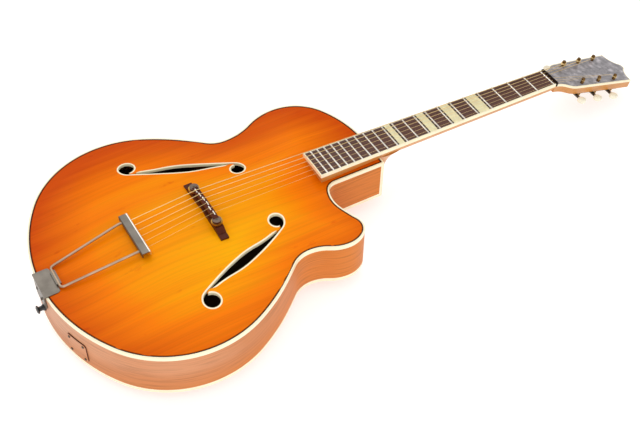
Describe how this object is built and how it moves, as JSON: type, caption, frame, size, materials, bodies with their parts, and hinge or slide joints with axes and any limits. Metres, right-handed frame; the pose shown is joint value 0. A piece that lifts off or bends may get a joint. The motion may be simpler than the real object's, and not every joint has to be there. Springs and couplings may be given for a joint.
{
  "type": "archtop guitar",
  "caption": "Archtop guitar with arched sunburst top, bound f-shaped sound holes, rounded cutaway, adjustable bridge, trapeze tailpiece and geared tuners.",
  "frame": {"origin": "middle of the footprint, on the plane that the arched back rests on", "axes": "+X along the centre line from the tail to the head, +Y to the bass side, +Z out of the top"},
  "size_m": [1.0997, 0.435, 0.1345],
  "materials": {
    "top_spruce": "high gloss lacquer, amber to orange sunburst",
    "rib_wood": "gloss lacquer over plain reddish wood",
    "back_wood": "gloss lacquer",
    "inner_wood": "bare wood",
    "neck_wood": "gloss lacquer",
    "rosewood": "oiled",
    "cream_celluloid": "polished",
    "black_celluloid": "polished",
    "pearl_block": "polished mother-of-pearl effect",
    "pearl_grey": "polished mother-of-pearl effect",
    "nickel": "nickel plated, slightly worn",
    "steel": "bright",
    "brass": "bright",
    "string_bronze": "bright wound and plain wire",
    "button_plastic": "polished",
    "black_plastic": "polished"
  },
  "bodies": {
    "body": {"top_plate": "top_spruce", "back_plate": "back_wood", "bass_rib": "rib_wood", "treble_rib": "rib_wood", "top_binding": "cream_celluloid", "back_binding": "cream_celluloid", "top_purfling": "black_celluloid", "f_hole_bindings": "cream_celluloid", "cutaway_strip": "cream_celluloid", "neck_block": "inner_wood", "tail_block": "inner_wood", "linings": "inner_wood", "tone_bars": "inner_wood", "neck": "neck_wood", "fingerboard": "rosewood", "fingerboard_binding": "cream_celluloid", "frets": "steel", "fret_blocks": "pearl_block", "nut": "black_celluloid", "head_veneer": "pearl_grey", "head_binding": "cream_celluloid", "bridge_base": "rosewood", "bridge_posts": "steel", "tail_bracket": "nickel", "wood_screws": "steel", "strap_button": "black_plastic", "cover_plate": "rib_wood", "strings_front": "string_bronze", "tuner_strips": "nickel"},
    "tailpiece": {"trapeze_wire": "nickel", "tailpiece_bar": "nickel", "strings_tail": "string_bronze"},
    "saddle": {"bridge_saddle": "rosewood", "saddle_wires": "steel"},
    "wheel_bass": {"thumbwheel_bass": "brass"},
    "wheel_treble": {"thumbwheel_treble": "brass"},
    "worm_1": {"tuner_1_worm": "steel", "tuner_1_button": "button_plastic"},
    "post_1": {"tuner_1_gear": "brass", "tuner_1_post": "nickel"},
    "worm_2": {"tuner_2_worm": "steel", "tuner_2_button": "button_plastic"},
    "post_2": {"tuner_2_gear": "brass", "tuner_2_post": "nickel"},
    "worm_3": {"tuner_3_worm": "steel", "tuner_3_button": "button_plastic"},
    "post_3": {"tuner_3_gear": "brass", "tuner_3_post": "nickel"},
    "worm_4": {"tuner_4_worm": "steel", "tuner_4_button": "button_plastic"},
    "post_4": {"tuner_4_gear": "brass", "tuner_4_post": "nickel"},
    "worm_5": {"tuner_5_worm": "steel", "tuner_5_button": "button_plastic"},
    "post_5": {"tuner_5_gear": "brass", "tuner_5_post": "nickel"},
    "worm_6": {"tuner_6_worm": "steel", "tuner_6_button": "button_plastic"},
    "post_6": {"tuner_6_gear": "brass", "tuner_6_post": "nickel"}
  },
  "joints": [
    {"name": "tailpiece_hinge", "type": "hinge", "parent": "body", "child": "tailpiece", "pos_m": [-0.51187, 0, 0.10216], "axis": [0, -1, 0], "range_deg": [-1.2, 6], "stiffness_Nm_per_rad": 20, "deforming": ["strings_tail"]},
    {"name": "saddle_lift", "type": "slide", "parent": "body", "child": "saddle", "axis": [0, 0, 1], "range_m": [-0.002, 0.002], "deforming": ["strings_front"]},
    {"name": "wheel_bass_turn", "type": "hinge", "parent": "saddle", "child": "wheel_bass", "pos_m": [-0.27545, 0.037, 0.12383], "axis": [0, 0, 1], "range_deg": [-1028.88, 1028.88]},
    {"name": "wheel_treble_turn", "type": "hinge", "parent": "saddle", "child": "wheel_treble", "pos_m": [-0.27545, -0.037, 0.12383], "axis": [0, 0, 1], "range_deg": [-1028.88, 1028.88]},
    {"name": "tuner_1_worm_turn", "type": "hinge", "parent": "body", "child": "worm_1", "pos_m": [0.41331, 0.02552, 0.05976], "axis": [-0.0404, 0.9991, 0.0111], "continuous": true},
    {"name": "tuner_1_post_turn", "type": "hinge", "parent": "body", "child": "post_1", "pos_m": [0.42078, 0.02585, 0.0577], "axis": [0.2656, 0, 0.9641], "continuous": true},
    {"name": "tuner_2_worm_turn", "type": "hinge", "parent": "body", "child": "worm_2", "pos_m": [0.44995, 0.02712, 0.04967], "axis": [-0.0404, 0.9991, 0.0111], "continuous": true},
    {"name": "tuner_2_post_turn", "type": "hinge", "parent": "body", "child": "post_2", "pos_m": [0.45741, 0.02744, 0.04761], "axis": [0.2656, 0, 0.9641], "continuous": true},
    {"name": "tuner_3_worm_turn", "type": "hinge", "parent": "body", "child": "worm_3", "pos_m": [0.48658, 0.02871, 0.03958], "axis": [-0.0404, 0.9991, 0.0111], "continuous": true},
    {"name": "tuner_3_post_turn", "type": "hinge", "parent": "body", "child": "post_3", "pos_m": [0.49405, 0.02903, 0.03752], "axis": [0.2656, 0, 0.9641], "continuous": true},
    {"name": "tuner_4_worm_turn", "type": "hinge", "parent": "body", "child": "worm_4", "pos_m": [0.48658, -0.02871, 0.03958], "axis": [-0.0404, -0.9991, 0.0111], "continuous": true},
    {"name": "tuner_4_post_turn", "type": "hinge", "parent": "body", "child": "post_4", "pos_m": [0.49405, -0.02903, 0.03752], "axis": [0.2656, 0, 0.9641], "continuous": true},
    {"name": "tuner_5_worm_turn", "type": "hinge", "parent": "body", "child": "worm_5", "pos_m": [0.44995, -0.02712, 0.04967], "axis": [-0.0404, -0.9991, 0.0111], "continuous": true},
    {"name": "tuner_5_post_turn", "type": "hinge", "parent": "body", "child": "post_5", "pos_m": [0.45741, -0.02744, 0.04761], "axis": [0.2656, 0, 0.9641], "continuous": true},
    {"name": "tuner_6_worm_turn", "type": "hinge", "parent": "body", "child": "worm_6", "pos_m": [0.41331, -0.02552, 0.05976], "axis": [-0.0404, -0.9991, 0.0111], "continuous": true},
    {"name": "tuner_6_post_turn", "type": "hinge", "parent": "body", "child": "post_6", "pos_m": [0.42078, -0.02585, 0.0577], "axis": [0.2656, 0, 0.9641], "continuous": true}
  ],
  "couplings": [
    {"joint": "wheel_bass_turn", "follows": "saddle_lift", "rad_per_m": 8976},
    {"joint": "wheel_treble_turn", "follows": "saddle_lift", "rad_per_m": 8976},
    {"joint": "tuner_1_post_turn", "follows": "tuner_1_worm_turn", "ratio": 0.071429},
    {"joint": "tuner_2_post_turn", "follows": "tuner_2_worm_turn", "ratio": 0.071429},
    {"joint": "tuner_3_post_turn", "follows": "tuner_3_worm_turn", "ratio": 0.071429},
    {"joint": "tuner_4_post_turn", "follows": "tuner_4_worm_turn", "ratio": -0.071429},
    {"joint": "tuner_5_post_turn", "follows": "tuner_5_worm_turn", "ratio": -0.071429},
    {"joint": "tuner_6_post_turn", "follows": "tuner_6_worm_turn", "ratio": -0.071429}
  ]
}
